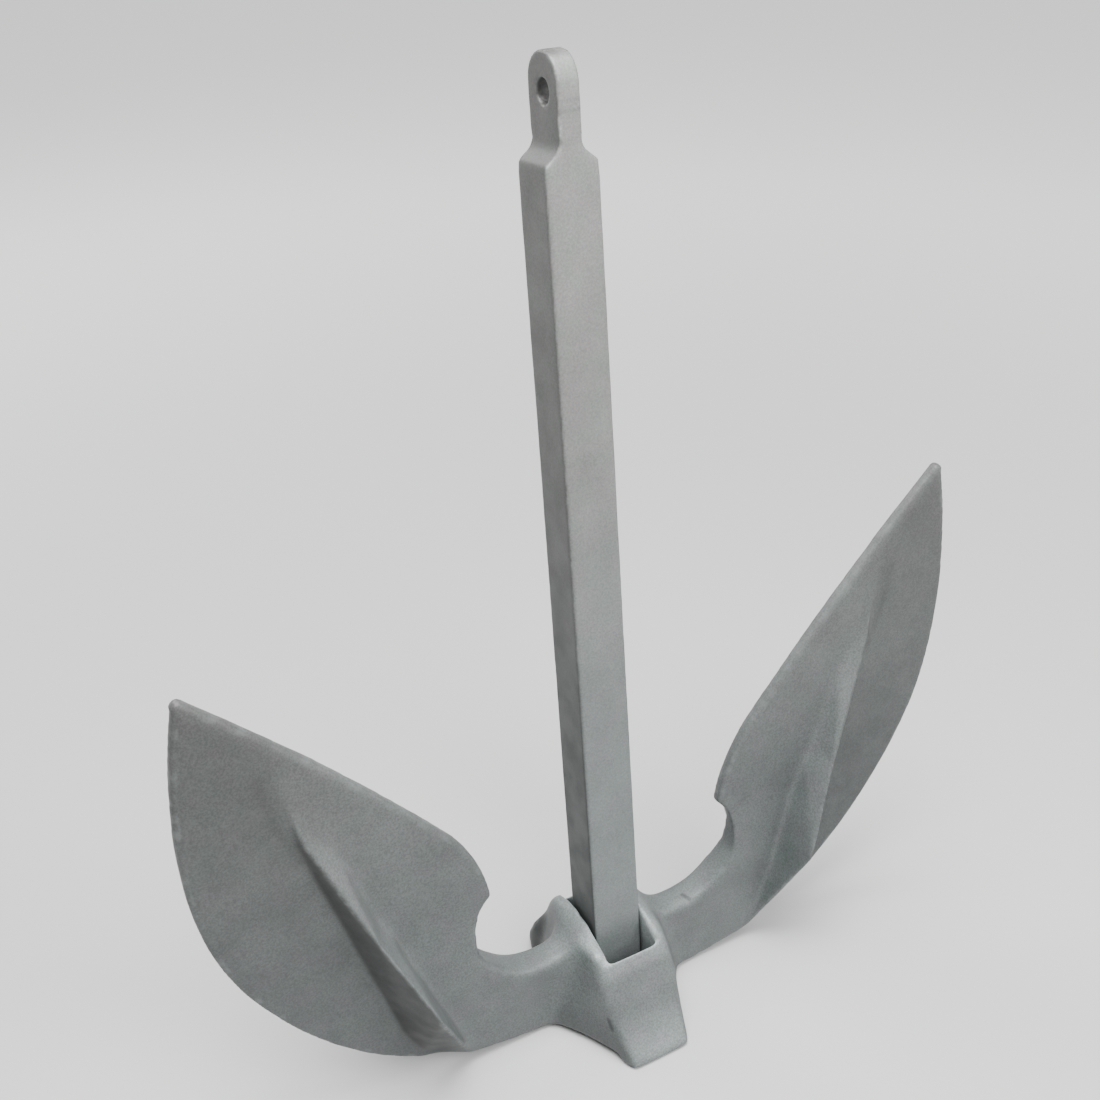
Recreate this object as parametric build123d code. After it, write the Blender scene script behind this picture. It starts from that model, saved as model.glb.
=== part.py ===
from build123d import *
import os

# Stockless boat anchor. Millimetres. Z = 0 is the floor that the crown's palm feet stand on, the
# crown pin lies along X, the two flukes lie in the XZ plane, and the shank rises from the pin,
# swung a little towards +Y as it comes to rest.

# Flukes and arms
BLADE_THICKNESS = 8
ARM_THICKNESS = 22
ARM_TAPER_START = 66              # above this height the arm thins out into the blade
ARM_TAPER_END = 120
RIB_HEIGHT = 42                   # how far the ribs stand out from the fluke plane at the elbow

# Crown
EAR_TOP = 77
EAR_HALF_WIDTH = 22
LIP_HALF_DEPTH = 33               # slot half length, from front lip to back lip
LIP_HEIGHT = 64.5
PALM_HALF_DEPTH = 72
PALM_HALF_WIDTH = 22
FOOT_DEPTH = 12
UNDERSIDE_HEIGHT = 3
SLOT_WIDTH = 37

# Shank
SHANK_FOOT_WIDTH = 34.5
SHANK_FOOT_DEPTH = 33
SHANK_TOP_WIDTH = 32.5
SHANK_TOP_DEPTH = 32
SHANK_EDGE_RADIUS = 2
SHANK_END = 25                    # how far the shank reaches below the crown pin
SHANK_END_RADIUS = 9
SHOULDER_HEIGHT = 571.5
SHOULDER_RISE = 7
NECK_RADIUS = 10                  # where the shoulders run up into the eye
EYE_THICKNESS = 13.5
EYE_TOP = 626
EYE_HOLE_HEIGHT = 606
EYE_HOLE_RADIUS = 6.75
REST_SWING = 5                    # degrees from upright at rest

# Crown pin, and the keeper blocks that close the channels it was lowered through
PIN_HEIGHT = 50
PIN_RADIUS = 9
PIN_LENGTH = 66
PIN_CHAMFER = 1
RUNNING_CLEARANCE = 0.05
POCKET_CLEARANCE = 0.1

ALL = 400                         # longer than anything a cutting shape has to pass through

def polyhedron(corners, sides):
    """A closed solid from named corner points and, for each flat side, the names round it."""
    faces = [Face(Wire.make_polygon([corners[name] for name in names], close=True)) for names in sides]
    return Solid(Shell(faces))

def fluke_outline():
    """Right half of the casting seen from the front: crown, arm, notch, tooth and leaf-shaped blade."""
    ear_edge = (EAR_HALF_WIDTH, EAR_TOP)
    arm_start = (45, 60)
    notch = (99, 105)
    tooth = (86, 133)
    inner_corner = (108, 190)
    tip_inside = (247, 344)
    tip_outside = (254.5, 341)
    blade_foot = (143, 17)
    top = Line((0, EAR_TOP), ear_edge)
    ear_side = ThreePointArc(ear_edge, (29, 68), arm_start)
    arm_top = Spline(arm_start, (70, 62.5), (92, 80), notch, tangents=((1, 0), (-0.1, 1)))
    notch_side = ThreePointArc(notch, (96, 119), tooth)
    tooth_side = ThreePointArc(tooth, (94, 164), inner_corner)
    inner_edge = ThreePointArc(inner_corner, (181, 276), tip_inside)
    tip = ThreePointArc(tip_inside, (252, 346.5), tip_outside)
    outer_edge = Spline(tip_outside, (267, 240), (255, 157), (227, 100), (190, 53), blade_foot)
    arm_bottom = Polyline(blade_foot, (108, 7), (79, 2), (50, 0), (0, 0), (0, EAR_TOP))
    return make_face([top, ear_side, arm_top, notch_side, tooth_side, inner_edge, tip, outer_edge, arm_bottom])

def crown_section(palm_corner, hollow, arm_corner):
    """One quarter of a level section through the crown: palm end, palm side hollowed towards the arm."""
    palm_end = Polyline((0, 0), (0, palm_corner[1]), palm_corner)
    side = ThreePointArc(palm_corner, hollow, arm_corner)
    arm_end = Polyline(arm_corner, (arm_corner[0], 0), (0, 0))
    return make_face([palm_end, side, arm_end])

def crown_profile():
    """Side view of half the crown: ear, sloping rim, lip, palm face, foot and underside."""
    foot_edge = PALM_HALF_DEPTH - FOOT_DEPTH
    return Polygon(
        (0, EAR_TOP),
        (14, 74),
        (LIP_HALF_DEPTH - 3, 68.5),
        (LIP_HALF_DEPTH, LIP_HEIGHT),
        (52, 29),
        (PALM_HALF_DEPTH, 3),
        (PALM_HALF_DEPTH - 1, 0),
        (foot_edge, 0),
        (foot_edge - UNDERSIDE_HEIGHT, UNDERSIDE_HEIGHT),
        (0, UNDERSIDE_HEIGHT),
        align=None,
    )

def rib():
    """Front half of the right fluke's rib: a ridge that grows from the blade to the arm's elbow."""
    corners = {
        "start": (209, 0, 290),
        "upper_outer": (208, 0, 233),
        "upper_crest": (200, -9.5, 233),
        "upper_inner": (186, 0, 233),
        "middle_outer": (185, 0, 150),
        "middle_crest": (168, -25, 150),
        "middle_inner": (160, 0, 150),
        "outer_foot": (156, 0, 45),
        "blade_foot": (143, 0, 18),
        "arm_foot": (108, 0, 8),
        "inner_foot": (118, 0, 36),
        "elbow": (141, -RIB_HEIGHT, 88),
        "arm_corner": (110, -ARM_THICKNESS / 2, 9),
    }
    outer_side = [
        ("start", "upper_outer", "upper_crest"),
        ("upper_outer", "middle_outer", "middle_crest"),
        ("upper_outer", "middle_crest", "upper_crest"),
        ("middle_outer", "outer_foot", "elbow"),
        ("middle_outer", "elbow", "middle_crest"),
    ]
    inner_side = [
        ("start", "upper_crest", "upper_inner"),
        ("upper_inner", "upper_crest", "middle_crest"),
        ("upper_inner", "middle_crest", "middle_inner"),
        ("middle_inner", "middle_crest", "elbow"),
        ("middle_inner", "elbow", "inner_foot"),
    ]
    below_elbow = [
        ("outer_foot", "blade_foot", "elbow"),
        ("blade_foot", "arm_corner", "elbow"),
        ("blade_foot", "arm_foot", "arm_corner"),
        ("arm_foot", "inner_foot", "arm_corner"),
        ("inner_foot", "elbow", "arm_corner"),
    ]
    back = [
        ("start", "upper_inner", "middle_inner", "inner_foot", "arm_foot", "blade_foot", "outer_foot",
         "middle_outer", "upper_outer"),
    ]
    return polyhedron(corners, outer_side + inner_side + below_elbow + back)

def right_fluke():
    """Arm, blade and ribs of the right side, from the crown's centre line out."""
    outline = fluke_outline()
    blade = extrude(Plane.XZ * outline, BLADE_THICKNESS / 2, both=True)
    arm_half = ARM_THICKNESS / 2
    arm_region = Polygon((0, 0), (110, 0), (110, 9), (131, 60), (146, 98), (160, 135), (0, 135), align=None)
    arm = extrude(Plane.XZ * (outline & arm_region), arm_half, both=True)
    thinning = Polygon(
        (-arm_half, 0),
        (arm_half, 0),
        (arm_half, ARM_TAPER_START),
        (BLADE_THICKNESS / 2, ARM_TAPER_END),
        (-BLADE_THICKNESS / 2, ARM_TAPER_END),
        (-arm_half, ARM_TAPER_START),
        align=None,
    )
    arm = arm & extrude(Plane.YZ * thinning, ALL, both=True)
    front_rib = rib()
    return blade + arm + front_rib + mirror(front_rib, Plane.XZ)

def crown_block():
    """The crown before its slot is cut: drawn-in sides, cut to its side view and its front view."""
    arm_half = ARM_THICKNESS / 2
    bottom = crown_section((PALM_HALF_WIDTH, PALM_HALF_DEPTH), (34, 41), (54, arm_half))
    top = crown_section((15, PALM_HALF_DEPTH), (23, 40), (27, arm_half))
    quarter = loft([bottom, Pos(0, 0, EAR_TOP) * top], ruled=True)
    quarter = quarter & extrude(Plane.YZ * crown_profile(), ALL, both=True)
    quarter = quarter & extrude(Plane.XZ * fluke_outline(), ALL, both=True)
    half = quarter + mirror(quarter, Plane.XZ)
    return half + mirror(half, Plane.YZ)

def pin_channel(clearance):
    """Round pocket for one pin end pair, open all the way down to the underside."""
    radius = PIN_RADIUS + clearance
    length = PIN_LENGTH + 2 * clearance
    pocket = Pos(0, 0, PIN_HEIGHT) * Rot(Y=90) * Cylinder(radius, length)
    return pocket + Pos(0, 0, PIN_HEIGHT / 2) * Box(length, 2 * radius, PIN_HEIGHT)

def fluke_casting():
    """The whole casting, with the slot for the shank and the channels for its pin."""
    fluke = right_fluke()
    casting = crown_block() + fluke + mirror(fluke, Plane.YZ)
    slot = Pos(0, 0, EAR_TOP / 2) * Box(SLOT_WIDTH, 2 * LIP_HALF_DEPTH, 2 * EAR_TOP)
    return casting - slot - pin_channel(POCKET_CLEARANCE)

def keeper(side):
    """Block that fills one channel from the underside up to the pin."""
    inner = SLOT_WIDTH / 2
    outer = PIN_LENGTH / 2
    height = PIN_HEIGHT - PIN_RADIUS - POCKET_CLEARANCE - UNDERSIDE_HEIGHT
    place = Pos(side * (inner + outer) / 2, 0, UNDERSIDE_HEIGHT + height / 2)
    return place * Box(outer - inner, 2 * PIN_RADIUS, height)

def shank_front_view():
    """Tapered bar with shoulders that run up into the thinner eye."""
    foot_x = SHANK_FOOT_WIDTH / 2
    top_x = SHANK_TOP_WIDTH / 2
    eye_x = EYE_THICKNESS / 2
    eye_base = SHOULDER_HEIGHT + SHOULDER_RISE
    above_eye = EYE_TOP + SHANK_TOP_DEPTH
    below_end = PIN_HEIGHT - SHANK_END - SHANK_TOP_DEPTH
    view = Polygon(
        (-foot_x, below_end),
        (foot_x, below_end),
        (top_x, SHOULDER_HEIGHT),
        (eye_x, eye_base),
        (eye_x, above_eye),
        (-eye_x, above_eye),
        (-eye_x, eye_base),
        (-top_x, SHOULDER_HEIGHT),
        align=None,
    )
    return fillet(view.vertices().filter_by_position(Axis.Y, eye_base - 1, eye_base + 1), NECK_RADIUS)

def shank_side_view():
    """Tapered bar with a rounded top and a foot end with rounded corners."""
    foot_y = SHANK_FOOT_DEPTH / 2
    top_y = SHANK_TOP_DEPTH / 2
    eye_round = EYE_TOP - top_y
    end = PIN_HEIGHT - SHANK_END
    foot = Polyline((-top_y, eye_round), (-foot_y, end), (foot_y, end), (top_y, eye_round))
    crest = ThreePointArc((top_y, eye_round), (0, EYE_TOP), (-top_y, eye_round))
    view = make_face([foot, crest])
    return fillet(view.vertices().filter_by_position(Axis.Y, end - 1, end + 1), SHANK_END_RADIUS)

def shank():
    """Square bar cut to its front and side views, bored at both ends and swung to its rest angle."""
    body = extrude(Plane.XZ * shank_front_view(), ALL, both=True)
    body &= extrude(Plane.YZ * shank_side_view(), ALL, both=True)
    body = fillet(body.edges().sort_by(SortBy.LENGTH)[-4:], SHANK_EDGE_RADIUS)
    body -= Pos(0, 0, EYE_HOLE_HEIGHT) * Rot(Y=90) * Cylinder(EYE_HOLE_RADIUS, 2 * EYE_THICKNESS)
    body -= Pos(0, 0, PIN_HEIGHT) * Rot(Y=90) * Cylinder(PIN_RADIUS + RUNNING_CLEARANCE, 2 * SHANK_FOOT_WIDTH)
    return body.rotate(Axis((0, 0, PIN_HEIGHT), (1, 0, 0)), -REST_SWING)

def crown_pin():
    """Plain shaft with chamfered ends."""
    pin = Pos(0, 0, PIN_HEIGHT) * Rot(Y=90) * Cylinder(PIN_RADIUS, PIN_LENGTH)
    return chamfer(pin.edges().filter_by(GeomType.CIRCLE), PIN_CHAMFER)

os.makedirs("parts", exist_ok=True)
pieces = {
    "fluke_casting": fluke_casting(),
    "shank": shank(),
    "crown_pin": crown_pin(),
    "keeper_left": keeper(-1),
    "keeper_right": keeper(1),
}
for name, piece in pieces.items():
    export_step(piece, f"parts/{name}.step")
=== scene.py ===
import math

import bmesh
import bpy
import numpy as np
from mathutils import Matrix, Vector, noise


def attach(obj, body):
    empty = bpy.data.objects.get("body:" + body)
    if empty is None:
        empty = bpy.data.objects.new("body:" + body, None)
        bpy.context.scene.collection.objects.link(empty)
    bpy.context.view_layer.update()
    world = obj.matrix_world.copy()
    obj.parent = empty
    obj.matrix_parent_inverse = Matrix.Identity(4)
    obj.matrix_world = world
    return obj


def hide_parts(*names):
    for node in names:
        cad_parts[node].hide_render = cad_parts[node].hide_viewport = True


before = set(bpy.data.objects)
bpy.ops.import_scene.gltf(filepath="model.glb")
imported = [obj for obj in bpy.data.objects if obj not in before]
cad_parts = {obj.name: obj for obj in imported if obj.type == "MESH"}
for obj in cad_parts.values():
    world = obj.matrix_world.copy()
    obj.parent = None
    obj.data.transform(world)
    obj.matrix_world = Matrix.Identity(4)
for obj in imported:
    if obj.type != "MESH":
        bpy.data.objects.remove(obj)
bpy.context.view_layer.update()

# Looks of the stockless anchor. Metres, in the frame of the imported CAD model: the crown stands on
# the floor, the flukes lie in the XZ plane and the shank rises from the crown pin.

# Camera: where it stands, how it is turned, and its lens on a 36 mm sensor
CAMERA_PLACE = (-0.3401, -0.5724, 0.7485)
CAMERA_AZIMUTH = 28.01
CAMERA_ELEVATION = 30.39
CAMERA_ROLL = -1.70
CAMERA_LENS = 44.12

# Soft lights: name, azimuth, elevation, distance, size and power, in degrees, metres and watts
LIGHT_TARGET = (0, 0, 0.25)
SOFTBOXES = (
    ("top", 0, 88, 1.7, 1.2, 56),
    ("left", -60, 70, 2.2, 1.2, 34),
    ("front", 0, 50, 2.2, 1.2, 30),
    ("right", 35, 25, 2.2, 1.2, 35),
    ("back", 195, 38, 2.4, 1.4, 26),
)
SKY_STRENGTH = 0.2
HORIZON_STRENGTH = 0.65           # the sky is brighter down to the horizon, below this height
HORIZON_HEIGHT = 0.30
FLOOR_SIZE = 60
FLOOR_GREY = 0.55
FLOOR_ROUGHNESS = 0.9
FLOOR_GLOW = 0.88                 # of the far floor, where the soft lights no longer reach
GLOW_SPAN = (0.5, 2.2)            # distances from the anchor where the glow starts and is full

# Sizes taken from the CAD model
SLOT_HALF_WIDTH = 0.0185
SLOT_HALF_DEPTH = 0.033
PIN_HEIGHT = 0.050
PIN_RADIUS = 0.009
FOOT_HALF_WIDTH = 0.030           # a little more than the shank's foot, which the pin's bore crosses
SHOULDER_HEIGHT = 0.573
EYE_DEPTH = 0.04846               # centre of the shackle eye
EYE_HEIGHT = 0.60388
EYE_RADIUS = 0.00675
RIB_CRESTS = (                    # height, and distance from the middle
    (0.010, 0.118),
    (0.088, 0.141),
    (0.150, 0.168),
    (0.233, 0.200),
    (0.290, 0.209),
)

# Making the skins
WELD_DISTANCE = 0.00001
CASTING_VOXEL = 0.0014
SHANK_VOXEL = 0.0012
MM_PER_M = 1000
STEP_SHARE = 0.5                  # how far one softening step goes towards the neighbours' mean
SOFTEN_ALL = 5                    # steps over the whole casting
SOFTEN_CROWN = 24                 # more steps on the crown
SLOT_SOFTNESS = 0.1               # share of those steps at the slot, which stays crisper
SOFTEN_LAST = 2
FILL_STEPS = 60                   # for the radii in the casting's inside corners
FILL_OUTSIDE_RIBS = 0.2
FILL_INSIDE_RIBS = 0.6            # added on the ribs' inner side
SOFTEN_SHANK = 1
SOFTEN_SHOULDER = 8
BORE_GAP = 0.0003                 # visual gap left around the crown pin
CASTING_WAVES = ((0.00030, 0.030, 1), (0.00010, 0.008, 2))      # unevenness: height, size and seed
SHANK_WAVES = ((0.00015, 0.025, 3),)
SEED_SHIFT = (3.7, 1.3, 2.9)      # how far each seed moves the noise
CASTING_EDGE_STEPS = 8            # neighbourhood that an edge has to stand proud of to be worn and highlit
SHANK_EDGE_STEPS = 4
EAR_RISE = 0.005                  # how far the crown's ears rise behind the shank
PALM_FLARE = 0.008                # how far the rear palm's sides stand out
PALM_FOOT_SHARE = 0.5             # share of that at the floor

# Spans: a measure, its value where a region begins, and its value where the region is full. Side,
# back, depth and height are X without its sign, Y, Y without its sign, and Z. Outward, up and forward
# are parts of the surface's direction. Past_crest and past_slot are distances from the ribs' crests
# and from the slot.
CROWN_SPAN = (0.125, 0.08)        # distance from the middle of the crown's foot
CROWN_STRETCH = 1.2               # the crown is this much wider than high
OFF_SLOT = (("past_slot", 0.0005, 0.006),)
EAR_BACKS = (                     # the ears' tops behind the shank
    ("back", 0.000, 0.018),
    ("side", 0.0180, 0.0186),
    ("side", 0.042, 0.028),
    ("height", 0.045, 0.060),
)
REAR_PALM = (("back", 0.030, 0.046), ("side", 0.012, 0.022), ("height", 0.054, 0.040))
ABOVE_PALM_FOOT = (("height", 0.004, 0.028),)
INSIDE_RIBS = (("past_crest", -0.004, -0.010),)
SHORT_OF_CREST = (("past_crest", 0.005, -0.002),)
RIBBED = (("height", 0.32, 0.27),)             # heights at which the flukes have ribs
BACK_FACES = (("back", -0.003, 0.003),)
BACK_SHARE = 0.4                  # the blades' backs take only this share of some tones: of the painted shade outside the ribs and on the ribs' outer faces
RAISED = (("depth", 0.0045, 0.007), ("height", 0.005, 0.020))    # faces that stand off the blades
BELOW_ELBOW = RAISED + (("up", -0.12, -0.30), ("height", 0.090, 0.075), ("side", 0.110, 0.122))
UPPER_INNER_EDGE = (("height", 0.20, 0.30),)

# Tone of the casting's zinc, mostly painted light and shade: how much lighter or darker it is painted, on
# which part, and within which spans
FRONT_PALM = (("forward", 0.5, 0.8), ("side", 0.04, 0.03))
CASTING_TONES = (
    # Faces that look up: painted light on the tops
    (0.16, "everywhere", (("up", 0.15, 0.75),)),
    # Flukes a little darker overall, and painted shade on their upper parts
    (-0.08, "flukes", ()),
    (-0.08, "flukes", (("height", 0.20, 0.26),)),
    # Painted shade on the blades outside the ribs, and low on the right one
    (-0.27, "outside ribs, front", ()),
    (-0.25, "outside ribs, off elbow", (("x", -0.01, 0.01), ("height", 0.24, 0.11))),
    # Painted shade on the outer faces of the ribs, and painted light on their inner faces
    (-0.66, "fluke fronts", (("outward", 0.30, 0.60), ("depth", 0.0045, 0.007), ("side", 0.125, 0.140))),
    (0.22, "flukes", RAISED + (("outward", -0.15, -0.40), ("height", 0.25, 0.20), ("side", 0.135, 0.150))),
    # Faces below the elbow: painted light on the right, painted shade on the left
    (0.45, "below elbow", (("x", -0.01, 0.01),)),
    (-0.45, "below elbow", (("x", 0.01, -0.01),)),
    # Painted shade on the low sides of the crown and on the sides of the rear palm
    (-0.42, "crown", (("outward", 0.30, 0.95), ("height", 0.044, 0.008))),
    (-0.72, "crown", (("outward", 0.1, 0.4), ("back", 0.028, 0.036), ("height", 0.060, 0.048))),
    # Painted light on the heel of the front palm, and a band of painted shade across its middle
    (0.45, "crown", FRONT_PALM + (("height", 0.024, 0.006),)),
    (-0.12, "crown", FRONT_PALM + (("off_palm_middle", 0.012, 0.003),)),
    # Painted highlight on the rim of the slot, and painted light on its walls, which lifts their shade
    (0.65, "everywhere", (("past_slot", 0.013, 0.003), ("height", 0.050, 0.060))),
    (1.20, "everywhere", (("past_slot", 0.0012, 0.0004), ("height", 0.030, 0.040))),
)
PALM_MIDDLE = 0.032               # height of that band of painted shade
TONE_BLUR_STEPS = 2

# Painted lines: change of tone, reach to each side, and places along the line. The crease and the
# inner edge are given for the right fluke's front, and painted on both sides of both flukes.
LINE_CORE = 0.3                   # share of the reach over which a line is full
# Painted shade along the crease on the outer side of each rib's top
RIB_CREASE_SHADE = (-0.22, 0.004, ((0.219, -0.004, 0.282), (0.2151, -0.004, 0.2548), (0.2026, -0.004, 0.2181)))
# Painted highlight along the flukes' upper inner edge
INNER_EDGE_HIGHLIGHT = (0.25, 0.008, (
    (0.108, -0.004, 0.190),
    (0.143, -0.004, 0.234),
    (0.181, -0.004, 0.276),
    (0.247, -0.004, 0.344),
))
RIM_PATCHES = (0.6, 0.8, 0.004, 5)       # mean, swing, size and seed of the unevenness of the rim's painted highlight
# Patchy painted highlight along the left ear's rim by the slot
RIM_HIGHLIGHT = (0.75, 0.005, (
    (-0.0264, -0.0102, 0.0707),
    (-0.0263, -0.0234, 0.0707),
    (-0.0242, -0.0301, 0.0684),
    (-0.0206, -0.0330, 0.0645),
))
# Two short dark lines: on the right ear's top by the slot, and on the front palm's left edge
CASTING_DARK_MARKS = (
    (-0.6, 0.0022, ((0.0596, -0.0026, 0.0602), (0.0621, -0.0088, 0.0604))),
    (-0.6, 0.0022, ((-0.0277, -0.0471, 0.0293), (-0.0269, -0.0509, 0.0231))),
)
FLECK_PATCHES = (0.5, 1.2, 0.0022, 6)    # the same for the light flecks at the eye, partly edge wear and partly painted highlight
# Light flecks at the eye's left edge: partly edge wear, partly painted highlight
EYE_FLECKS = (
    (1.1, 0.0018, ((-0.0068, 0.0312, 0.5926), (-0.0068, 0.0306, 0.5845))),
    (1.1, 0.0018, ((-0.0074, 0.0300, 0.5788), (-0.0115, 0.0297, 0.5755), (-0.0160, 0.0293, 0.5700))),
)

# Tone of the shank's zinc, at heights: painted light at the top, painted shade on the left side and low down
SHANK_FRONT_TONES = ((0.08, 0.98), (0.20, 0.84), (0.45, 1.04), (0.60, 1.22))
SHANK_LEFT_TONES = ((0.08, 0.28), (0.20, 0.24), (0.35, 0.42), (0.55, 0.59))
# Milder painted shade on the right side
SHANK_RIGHT_TONE = 0.85
SHANK_SIDES_SPAN = (-0.004, 0.004)
SHANK_FACING_SPAN = (0.3, 0.7)    # part of the surface's direction that is along Y
SHOULDER_SPAN = (0.012, 0.004)
CAST_LINE_HEIGHTS = (0.5965, 0.6017)
CAST_LINE_SPAN = (0.0014, 0.0004)
CAST_LINE_CHANGE = -0.15
EYE_HOLE_SPAN = (EYE_RADIUS + 0.0008, EYE_RADIUS)
EYE_HOLE_SHADE_SPAN = (-0.006, -0.002)    # the lower edge of the eye stays light
# Painted shade in the upper part of the eye's hole
EYE_HOLE_PAINTED_SHADE = -0.7

# Tints
COOL = (0.90, 1.0, 0.985)
WARM = (0.98, 1.0, 0.95)
GREENISH = (0.96, 1.02, 1.0, 1.0)
PURPLISH = (1.03, 0.98, 1.02, 1.0)

# Shades: the noise's feature size, detail and roughness, the span of it that counts, and what the
# shade is at the ends of that span. The grain's ends come with each zinc.
CLOUDS = (0.045, 3.0, 0.5, 0.38, 0.62, 0.95, 1.05)
PATCHES = (0.011, 4.0, 0.6, 0.35, 0.70, 0.96, 1.06)
STAINS = (0.024, 5.0, 0.65, 0.60, 0.74, 1.0, 0.84)
GRAIN = (0.0006, 3.0, 0.7, 0.3, 0.7)
MOTTLE = (0.007, 4.0, 0.65, 0.38, 0.62, 0.0, 1.0)
# Spots where proud edges are lightened, as wear and as painted highlight
EDGE_WEAR_AND_HIGHLIGHT_SPOTS = (0.004, 4.0, 0.5, 0.45, 0.70, 0.0, 1.0)
ZINC_ROUGHNESS = (0.009, 3.0, 0.5, 0.3, 0.7, 0.48, 0.60)
GREASE = (0.010, 3.0, 0.5, 0.4, 0.6, 0.0, 1.0)
STEEL_ROUGHNESS = (0.004, 2.0, 0.5, 0.3, 0.7, 0.28, 0.42)

# Zinc of both skins
ZINC_METALLIC = 0.1
SKIN_BUMPS = (0.006, 3.0, 0.0004, 0.15)   # feature size, detail, distance and strength
GRAIN_BUMPS = (0.0009, 2.0, 0.0001, 0.3)
# Edges that stand proud are lightened: partly wear, partly painted highlight
EDGE_WEAR_AND_HIGHLIGHT_SPAN = (0.20, 0.50)          # millimetres that a worn, highlit edge stands proud
EDGE_WEAR_AND_HIGHLIGHT_MOST = 0.45
WEAR_POLISH = 0.15                # a worn edge is smoother by this much

# Zinc of each piece: reflectance, reflectance of worn, highlit edges, heights between which it turns warmer,
# and how strong its grain is
CASTING_ZINC = (0.10, 0.15, (0.05, 0.50), 0.26)
SHANK_ZINC = (0.155, 0.21, (0.15, 0.45), 0.17)

# Hidden steel
PIN_GREY = 0.55
KEEPER_GREY = 0.30
GREASE_SHARE = 0.7                # what a greasy spot leaves of the reflectance
STEEL_METALLIC = 0.9
RING_SCALE = 400.0
RING_DISTORTION = 0.3
RING_DEPTH = 0.00005
RING_STRENGTH = 0.4

NOISE_FEATURE = 0.5               # size of the noise texture's features at scale 1

# Sockets of Blender's Mix node when it mixes colours
MIX_FACTOR = 0
MIX_FIRST = 6
MIX_SECOND = 7
MIX_RESULT = 2


class Skin:
    """An even skin of small faces, with its points as an array that the shaping steps work on."""

    def __init__(self, node, name, voxel):
        self.piece = bpy.data.objects.new(name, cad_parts[node].data.copy())
        bpy.context.scene.collection.objects.link(self.piece)
        weld(self.piece.data)
        modifier = self.piece.modifiers.new("skin", "REMESH")
        modifier.mode = "VOXEL"
        modifier.voxel_size = voxel
        modifier.adaptivity = 0
        apply_modifiers(self.piece)
        mesh = self.piece.data
        self.count = len(mesh.vertices)
        self.points = np.empty(self.count * 3)
        mesh.vertices.foreach_get("co", self.points)
        self.points = self.points.reshape(-1, 3)
        self.edges = np.empty(len(mesh.edges) * 2, dtype=np.int32)
        mesh.edges.foreach_get("vertices", self.edges)
        self.edges = self.edges.reshape(-1, 2)
        self.neighbours = np.bincount(self.edges.ravel(), minlength=self.count)

    def mean(self, values):
        """Mean over each point's neighbours, of one number or three numbers a point."""
        if values.ndim > 1:
            return np.stack([self.mean(column) for column in values.T], axis=1)
        first, second = self.edges.T
        forward = np.bincount(first, values[second], self.count)
        backward = np.bincount(second, values[first], self.count)
        return (forward + backward) / self.neighbours

    def blur(self, values, steps):
        """The mean over a neighbourhood that grows with each step."""
        for _ in range(steps):
            values = self.mean(values)
        return values

    def normals(self):
        """The outward direction at each point."""
        self.store()
        normals = np.empty(self.points.size)
        self.piece.data.vertex_normals.foreach_get("vector", normals)
        return normals.reshape(-1, 3)

    def soften(self, steps, share):
        """Rounds edges and corners. Share is how far each point moves, from 0 to 1."""
        for _ in range(steps):
            self.points += STEP_SHARE * share[:, None] * (self.mean(self.points) - self.points)

    def fill(self, steps, share):
        """Fills inside corners, as a casting's radii do, and leaves outside edges where they are."""
        for _ in range(steps):
            normals = self.normals()
            lift = np.einsum("ij,ij->i", self.mean(self.points) - self.points, normals)
            self.points += (STEP_SHARE * share * np.clip(lift, 0, None))[:, None] * normals

    def displace(self, unevenness):
        """Makes the surface uneven: smooth waves of each height, size and seed."""
        heights = sum(height * waves(self.points, size, seed) for height, size, seed in unevenness)
        self.points += heights[:, None] * self.normals()

    def store(self):
        """Writes the points back to the mesh."""
        self.piece.data.vertices.foreach_set("co", self.points.ravel())
        self.piece.data.update()

    def finish(self, edge_steps, tone):
        """Stores the mesh with smooth shading, its tone (mostly painted light and shade), and how far each
        point stands proud in mm.
        """
        self.store()
        mesh = self.piece.data
        mesh.shade_smooth()
        lift = self.points - self.blur(self.points, edge_steps)
        proud = MM_PER_M * np.einsum("ij,ij->i", lift, self.normals())
        for name, values in (("proud", proud), ("tone", tone)):
            attribute = mesh.attributes.new(name, "FLOAT", "POINT")
            attribute.data.foreach_set("value", values.astype(np.float32))
        return self.piece


def weld(mesh):
    """Joins the points that the CAD export splits along its edges."""
    shape = bmesh.new()
    shape.from_mesh(mesh)
    bmesh.ops.remove_doubles(shape, verts=shape.verts, dist=WELD_DISTANCE)
    shape.to_mesh(mesh)
    shape.free()


def apply_modifiers(piece):
    """Puts the result of a piece's modifiers into its mesh."""
    shown = piece.evaluated_get(bpy.context.evaluated_depsgraph_get())
    mesh = bpy.data.meshes.new_from_object(shown)
    piece.modifiers.clear()
    piece.data = mesh
    mesh.name = piece.name


def fade(values, begin, full):
    """0 up to begin, 1 from full on, and a smooth change between. Full may be the lower of the two."""
    rise = np.clip((values - begin) / (full - begin), 0, 1)
    return rise * rise * (3 - 2 * rise)


def region(measures, spans):
    """How far each point is inside all the spans, from 0 to 1."""
    share = np.ones(len(measures["height"]))
    for measure, begin, full in spans:
        share *= fade(measures[measure], begin, full)
    return share


def at_heights(height, pairs):
    """Values at those heights, from pairs of a height and a value."""
    heights, values = zip(*pairs)
    return np.interp(height, heights, values)


def waves(points, size, seed):
    """Smooth random heights from -1 to 1, with features of about that size."""
    shift = Vector([seed * part for part in SEED_SHIFT])
    return np.array([noise.noise(Vector(point) / size + shift) for point in points])


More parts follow.
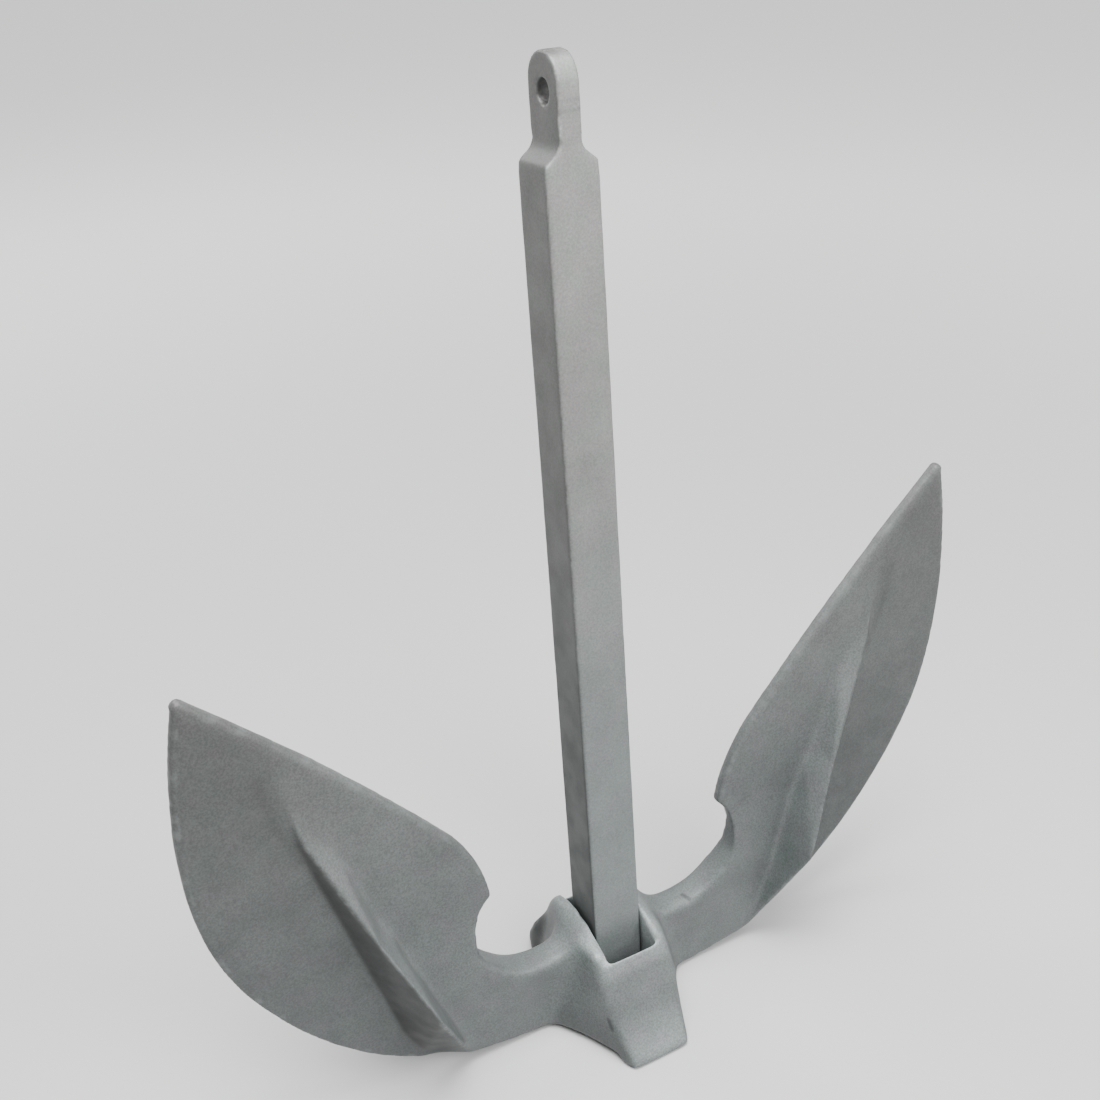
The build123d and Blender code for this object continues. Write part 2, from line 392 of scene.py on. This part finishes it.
def painted_line(points, line):
    """The change of tone that a painted line makes at each point: 0 away from it."""
    change, reach, places = line
    nearest = np.full(len(points), np.inf)
    for start, end in zip(places, places[1:]):
        start = np.array(start)
        along = np.array(end) - start
        share = np.clip((points - start) @ along / (along @ along), 0, 1)
        nearest = np.minimum(nearest, np.linalg.norm(points - start - share[:, None] * along, axis=1))
    return change * fade(nearest, reach, LINE_CORE * reach)


def keep_bore(points):
    """Pushes points out of the crown pin's bore through the shank's foot."""
    radius = PIN_RADIUS + BORE_GAP
    y = points[:, 1]
    z = points[:, 2] - PIN_HEIGHT
    distance = np.hypot(y, z)
    inside = (distance < radius) & (np.abs(points[:, 0]) < FOOT_HALF_WIDTH)
    grow = radius / distance[inside]
    points[inside, 1] = y[inside] * grow
    points[inside, 2] = z[inside] * grow + PIN_HEIGHT


def keep_slot(points):
    """Moves points that drifted into the shank's slot back to its nearest wall."""
    x = points[:, 0]
    y = points[:, 1]
    inside = (np.abs(x) < SLOT_HALF_WIDTH) & (np.abs(y) < SLOT_HALF_DEPTH)
    to_side = inside & (SLOT_HALF_WIDTH - np.abs(x) < SLOT_HALF_DEPTH - np.abs(y))
    to_lip = inside & ~to_side
    points[to_side, 0] = np.sign(x[to_side]) * SLOT_HALF_WIDTH
    points[to_lip, 1] = np.sign(y[to_lip]) * SLOT_HALF_DEPTH


def casting_measures(points):
    """The measures that the casting's regions are given in, apart from directions."""
    x, y, z = points.T
    side = np.abs(x)
    depth = np.abs(y)
    return {
        "x": x,
        "back": y,
        "side": side,
        "depth": depth,
        "height": z,
        "past_crest": side - at_heights(z, RIB_CRESTS),
        "past_slot": np.maximum(side - SLOT_HALF_WIDTH, depth - SLOT_HALF_DEPTH),
        "off_palm_middle": np.abs(z - PALM_MIDDLE),
    }


def casting_tone(skin, past_slot, crown):
    """Brightness of the casting's zinc, mostly painted light and shade: darker outside the ribs and on the
    crown's sides, lighter on top.
    """
    measures = casting_measures(skin.points)
    normals = skin.normals()
    measures["outward"] = normals[:, 0] * np.sign(measures["x"])
    measures["forward"] = -normals[:, 1]
    measures["up"] = normals[:, 2]
    measures["past_slot"] = past_slot
    flukes = 1 - crown
    front = 1 - (1 - BACK_SHARE) * region(measures, BACK_FACES)
    outside_ribs = flukes * (1 - region(measures, RIBBED + SHORT_OF_CREST))
    below_elbow = flukes * region(measures, BELOW_ELBOW)
    parts = {
        "everywhere": 1,
        "crown": crown,
        "flukes": flukes,
        "fluke fronts": flukes * front,
        "outside ribs, front": outside_ribs * front,
        "outside ribs, off elbow": outside_ribs * (1 - below_elbow),
        "below elbow": below_elbow,
    }
    tone = np.ones(skin.count)
    for change, part, spans in CASTING_TONES:
        tone *= 1 + change * parts[part] * region(measures, spans)
    # Patchy painted highlight along the ear's rim
    mean, swing, size, seed = RIM_PATCHES
    patches = mean + swing * waves(skin.points, size, seed)
    tone *= 1 + patches * painted_line(skin.points, RIM_HIGHLIGHT)
    mirrored = np.column_stack((measures["side"], -measures["depth"], measures["height"]))
    # Painted shade along the ribs' crease
    tone *= 1 + painted_line(mirrored, RIB_CREASE_SHADE)
    # Painted highlight along the flukes' upper inner edge
    tone *= 1 + region(measures, UPPER_INNER_EDGE) * painted_line(mirrored, INNER_EDGE_HIGHLIGHT)
    tone = skin.blur(tone, TONE_BLUR_STEPS)
    # Two short dark lines on the casting
    for dark_mark in CASTING_DARK_MARKS:
        tone *= 1 + painted_line(skin.points, dark_mark)
    return tone


def casting_skin():
    """Crown, arms and flukes as one rounded casting."""
    skin = Skin("fluke_casting", "fluke_casting_skin", CASTING_VOXEL)
    measures = casting_measures(skin.points)
    off_slot = region(measures, OFF_SLOT)
    crown = fade(np.hypot(measures["side"] / CROWN_STRETCH, measures["height"]), *CROWN_SPAN)
    inside_ribs = region(measures, INSIDE_RIBS)
    ears = region(measures, EAR_BACKS)
    above_foot = region(measures, ABOVE_PALM_FOOT)
    flare = crown * region(measures, REAR_PALM) * (PALM_FOOT_SHARE + (1 - PALM_FOOT_SHARE) * above_foot)
    past_slot = measures["past_slot"]
    outward = np.sign(measures["x"])
    skin.points[:, 2] += EAR_RISE * ears
    skin.points[:, 0] += PALM_FLARE * flare * outward
    everywhere = np.ones(skin.count)
    skin.fill(FILL_STEPS, off_slot * np.maximum(crown, FILL_OUTSIDE_RIBS + FILL_INSIDE_RIBS * inside_ribs))
    skin.soften(SOFTEN_ALL, everywhere)
    skin.soften(SOFTEN_CROWN, crown * (SLOT_SOFTNESS + (1 - SLOT_SOFTNESS) * off_slot))
    skin.displace(CASTING_WAVES)
    skin.soften(SOFTEN_LAST, everywhere)
    keep_slot(skin.points)
    return skin.finish(CASTING_EDGE_STEPS, casting_tone(skin, past_slot, crown))


def shank_tone(skin):
    """Brightness of the shank's zinc: painted light at the top, painted shade on the sides and low down, two
    casting lines, painted shade in the eye's hole, and light flecks at the eye, partly edge wear and partly
    painted highlight.
    """
    x, y, height = skin.points.T
    # Painted light and shade by height: lighter at the top, darker on the sides and low down
    front = at_heights(height, SHANK_FRONT_TONES)
    sides = at_heights(height, SHANK_LEFT_TONES)
    sides += fade(x, *SHANK_SIDES_SPAN) * (SHANK_RIGHT_TONE - sides)
    facing = fade(np.abs(skin.normals()[:, 1]), *SHANK_FACING_SPAN)
    tone = sides + (front - sides) * facing
    for line in CAST_LINE_HEIGHTS:
        tone *= 1 + CAST_LINE_CHANGE * facing * fade(np.abs(height - line), *CAST_LINE_SPAN)
    # Painted shade in the upper part of the eye's hole
    above_eye = height - EYE_HEIGHT
    hole = fade(np.hypot(y - EYE_DEPTH, above_eye), *EYE_HOLE_SPAN)
    tone *= 1 + EYE_HOLE_PAINTED_SHADE * hole * fade(above_eye, *EYE_HOLE_SHADE_SPAN)
    # Light flecks at the eye: partly edge wear, partly painted highlight
    mean, swing, size, seed = FLECK_PATCHES
    patches = mean + swing * np.abs(waves(skin.points, size, seed))
    for fleck in EYE_FLECKS:
        tone *= 1 + patches * painted_line(skin.points, fleck)
    return tone


def shank_skin():
    """Tapered bar with soft edges and shoulders."""
    skin = Skin("shank", "shank_skin", SHANK_VOXEL)
    shoulder = fade(np.abs(skin.points[:, 2] - SHOULDER_HEIGHT), *SHOULDER_SPAN)
    skin.soften(SOFTEN_SHANK, np.ones(skin.count))
    skin.soften(SOFTEN_SHOULDER, shoulder)
    skin.displace(SHANK_WAVES)
    keep_bore(skin.points)
    return skin.finish(SHANK_EDGE_STEPS, shank_tone(skin))


class Nodes:
    """Small helper that adds shader nodes to one material and links them."""

    def __init__(self, name):
        self.material = bpy.data.materials.new(name)
        self.material.use_nodes = True
        self.tree = self.material.node_tree
        self.surface = self.tree.nodes["Principled BSDF"].inputs
        self.place = self.add("ShaderNodeTexCoord").outputs["Object"]

    def add(self, kind, settings=None, **inputs):
        """A node with those settings, and values or links for its inputs. An _ in a name is a space."""
        node = self.tree.nodes.new(kind)
        for key, value in (settings or {}).items():
            setattr(node, key, value)
        for key, value in inputs.items():
            self.set(node.inputs[key.replace("_", " ")], value)
        return node

    def set(self, socket, value):
        """Links an output to the socket, or puts a plain value on it."""
        if isinstance(value, bpy.types.NodeSocket):
            self.tree.links.new(value, socket)
        else:
            socket.default_value = value

    def noise(self, size, detail, roughness=0.5):
        """Noise with features of about that size in metres, around 0.5."""
        scale = NOISE_FEATURE / size
        node = self.add("ShaderNodeTexNoise", Scale=scale, Detail=detail, Roughness=roughness)
        self.set(node.inputs["Vector"], self.place)
        return node.outputs["Fac"]

    def ramp(self, value, low, high, start=0.0, end=1.0):
        """Start below low and end above high, with a smooth change between."""
        smooth = {"interpolation_type": "SMOOTHSTEP"}
        spans = {"From_Min": low, "From_Max": high, "To_Min": start, "To_Max": end}
        return self.add("ShaderNodeMapRange", smooth, Value=value, **spans).outputs["Result"]

    def shade(self, size, detail, roughness, *span):
        """Noise turned into a shade, with the values listed at the top."""
        return self.ramp(self.noise(size, detail, roughness), *span)

    def math(self, operation, first, second):
        """Two numbers combined."""
        node = self.add("ShaderNodeMath", {"operation": operation})
        self.set(node.inputs[0], first)
        self.set(node.inputs[1], second)
        return node.outputs[0]

    def mix(self, factor, first, second, blend="MIX"):
        """Two colours mixed."""
        node = self.add("ShaderNodeMix", {"data_type": "RGBA", "blend_type": blend})
        self.set(node.inputs[MIX_FACTOR], factor)
        self.set(node.inputs[MIX_FIRST], first)
        self.set(node.inputs[MIX_SECOND], second)
        return node.outputs[MIX_RESULT]

    def attribute(self, name):
        """A number stored at each point of the skin: tone (mostly painted light and shade) or proud."""
        return self.add("ShaderNodeAttribute", {"attribute_name": name}).outputs["Fac"]

    def bump(self, height, distance, strength):
        """A node that tilts the surface's direction as that height does."""
        return self.add("ShaderNodeBump", Height=height, Strength=strength, Distance=distance)


def grey(level, tint=(1.0, 1.0, 1.0)):
    """A grey of that reflectance, tinted."""
    return tuple(level * part for part in tint) + (1.0,)


def galvanised(name, level, worn_and_highlit, warm_span, coarse):
    """Matt zinc: cloudy grey-green patches, fine grain, its tone of mostly painted light and shade, edges
    lightened partly as wear and partly as painted highlight, and a warmer top.
    """
    nodes = Nodes(name)
    surface = nodes.surface
    height = nodes.add("ShaderNodeSeparateXYZ", Vector=nodes.place).outputs["Z"]
    colour = nodes.mix(nodes.ramp(height, *warm_span), grey(level, COOL), grey(level, WARM))
    mottle = nodes.mix(nodes.shade(*MOTTLE), GREENISH, PURPLISH)
    grain = nodes.shade(*GRAIN, 1 - coarse, 1 + coarse)
    shades = [nodes.shade(*shade) for shade in (CLOUDS, PATCHES, STAINS)]
    # The tone attribute, mostly painted light and shade, is multiplied into the colour
    for factor in (mottle, *shades, grain, nodes.attribute("tone")):
        colour = nodes.mix(1.0, colour, factor, "MULTIPLY")
    # Edges that stand proud are lightened: partly wear, partly painted highlight
    proud = nodes.ramp(nodes.attribute("proud"), *EDGE_WEAR_AND_HIGHLIGHT_SPAN, 0.0, EDGE_WEAR_AND_HIGHLIGHT_MOST)
    wear_and_highlight = nodes.math("MULTIPLY", proud, nodes.shade(*EDGE_WEAR_AND_HIGHLIGHT_SPOTS))
    nodes.set(surface["Base Color"], nodes.mix(wear_and_highlight, colour, grey(worn_and_highlit, COOL)))
    polish = nodes.math("MULTIPLY", wear_and_highlight, WEAR_POLISH)
    nodes.set(surface["Roughness"], nodes.math("SUBTRACT", nodes.shade(*ZINC_ROUGHNESS), polish))
    surface["Metallic"].default_value = ZINC_METALLIC
    normal = surface["Normal"]
    for size, detail, distance, strength in (GRAIN_BUMPS, SKIN_BUMPS):
        bump = nodes.bump(nodes.noise(size, detail), distance, strength)
        nodes.set(normal, bump.outputs["Normal"])
        normal = bump.inputs["Normal"]
    return nodes.material


def turned_steel(name, level):
    """Bare turned steel with faint rings along X and a greasy film."""
    nodes = Nodes(name)
    surface = nodes.surface
    greasy = grey(level * GREASE_SHARE, WARM)
    nodes.set(surface["Base Color"], nodes.mix(nodes.shade(*GREASE), grey(level), greasy))
    nodes.set(surface["Roughness"], nodes.shade(*STEEL_ROUGHNESS))
    surface["Metallic"].default_value = STEEL_METALLIC
    along_x = {"bands_direction": "X"}
    rings = nodes.add("ShaderNodeTexWave", along_x, Scale=RING_SCALE, Distortion=RING_DISTORTION)
    nodes.set(rings.inputs["Vector"], nodes.place)
    bump = nodes.bump(rings.outputs["Fac"], RING_DEPTH, RING_STRENGTH)
    nodes.set(surface["Normal"], bump.outputs["Normal"])
    return nodes.material


def dress(piece, material):
    """Gives a piece one material."""
    piece.data.materials.clear()
    piece.data.materials.append(material)


def add_casting():
    """The casting's skin, in place of its CAD node."""
    piece = casting_skin()
    dress(piece, galvanised("galvanised_casting_skin", *CASTING_ZINC))
    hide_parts("fluke_casting")
    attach(piece, "casting")


def add_shank():
    """The shank's skin, in place of its CAD node."""
    piece = shank_skin()
    dress(piece, galvanised("galvanised_bar_skin", *SHANK_ZINC))
    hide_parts("shank")
    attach(piece, "shank")


def add_hidden_steel():
    """The crown pin and its keepers keep their CAD shape."""
    pin_steel = turned_steel("pin_steel_turned", PIN_GREY)
    keeper_steel = turned_steel("keeper_steel_zinc", KEEPER_GREY)
    steels = {"crown_pin": pin_steel, "keeper_left": keeper_steel, "keeper_right": keeper_steel}
    for name, material in steels.items():
        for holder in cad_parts[name].material_slots:
            holder.material = material


def add_softbox(name, azimuth, elevation, distance, size, power):
    """A round soft light aimed at the middle of the anchor. Azimuth turns from the front toward +X."""
    data = bpy.data.lights.new(name, "AREA")
    data.shape = "DISK"
    data.size = size
    data.energy = power
    lamp = bpy.data.objects.new(name, data)
    bpy.context.scene.collection.objects.link(lamp)
    turn = math.radians(azimuth)
    lift = math.radians(elevation)
    away = Vector((math.sin(turn) * math.cos(lift), -math.cos(turn) * math.cos(lift), math.sin(lift)))
    lamp.location = Vector(LIGHT_TARGET) + distance * away
    lamp.rotation_euler = (-away).to_track_quat("-Z", "Y").to_euler()


def add_camera():
    """The camera, turned by azimuth from the front toward -X, elevation and roll."""
    azimuth = math.radians(CAMERA_AZIMUTH)
    elevation = math.radians(CAMERA_ELEVATION)
    back = Vector((
        -math.sin(azimuth) * math.cos(elevation),
        -math.cos(azimuth) * math.cos(elevation),
        math.sin(elevation),
    ))
    level = Vector((math.cos(azimuth), -math.sin(azimuth), 0))
    right = Matrix.Rotation(math.radians(CAMERA_ROLL), 3, back) @ level
    up = back.cross(right)
    data = bpy.data.cameras.new("camera")
    data.lens = CAMERA_LENS
    camera = bpy.data.objects.new("camera", data)
    bpy.context.scene.collection.objects.link(camera)
    axes = Matrix((right, up, back)).transposed()
    camera.matrix_world = Matrix.Translation(CAMERA_PLACE) @ axes.to_4x4()
    bpy.context.scene.camera = camera


def add_floor():
    """Pale floor to the horizon, which glows faintly where the soft lights no longer reach."""
    bpy.ops.mesh.primitive_plane_add(size=FLOOR_SIZE)
    floor = bpy.context.object
    floor.name = "floor"
    nodes = Nodes("floor_pale")
    surface = nodes.surface
    surface["Base Color"].default_value = grey(FLOOR_GREY)
    surface["Roughness"].default_value = FLOOR_ROUGHNESS
    surface["Emission Color"].default_value = grey(1.0)
    distance = nodes.add("ShaderNodeVectorMath", {"operation": "LENGTH"}, Vector=nodes.place).outputs["Value"]
    nodes.set(surface["Emission Strength"], nodes.ramp(distance, *GLOW_SPAN, 0.0, FLOOR_GLOW))
    dress(floor, nodes.material)


def add_sky():
    """A weak white sky, brighter towards the horizon."""
    world = bpy.data.worlds.new("sky")
    world.use_nodes = True
    tree = world.node_tree
    background = tree.nodes["Background"].inputs
    background["Color"].default_value = grey(1.0)
    split = tree.nodes.new("ShaderNodeSeparateXYZ")
    brightness = tree.nodes.new("ShaderNodeMapRange")
    brightness.interpolation_type = "SMOOTHSTEP"
    brightness.inputs["From Max"].default_value = HORIZON_HEIGHT
    brightness.inputs["To Min"].default_value = HORIZON_STRENGTH
    brightness.inputs["To Max"].default_value = SKY_STRENGTH
    direction = tree.nodes.new("ShaderNodeTexCoord").outputs["Generated"]
    tree.links.new(direction, split.inputs["Vector"])
    tree.links.new(split.outputs["Z"], brightness.inputs["Value"])
    tree.links.new(brightness.outputs["Result"], background["Strength"])
    bpy.context.scene.world = world


add_camera()
add_floor()
for softbox in SOFTBOXES:
    add_softbox(*softbox)
add_sky()
add_casting()
add_shank()
add_hidden_steel()
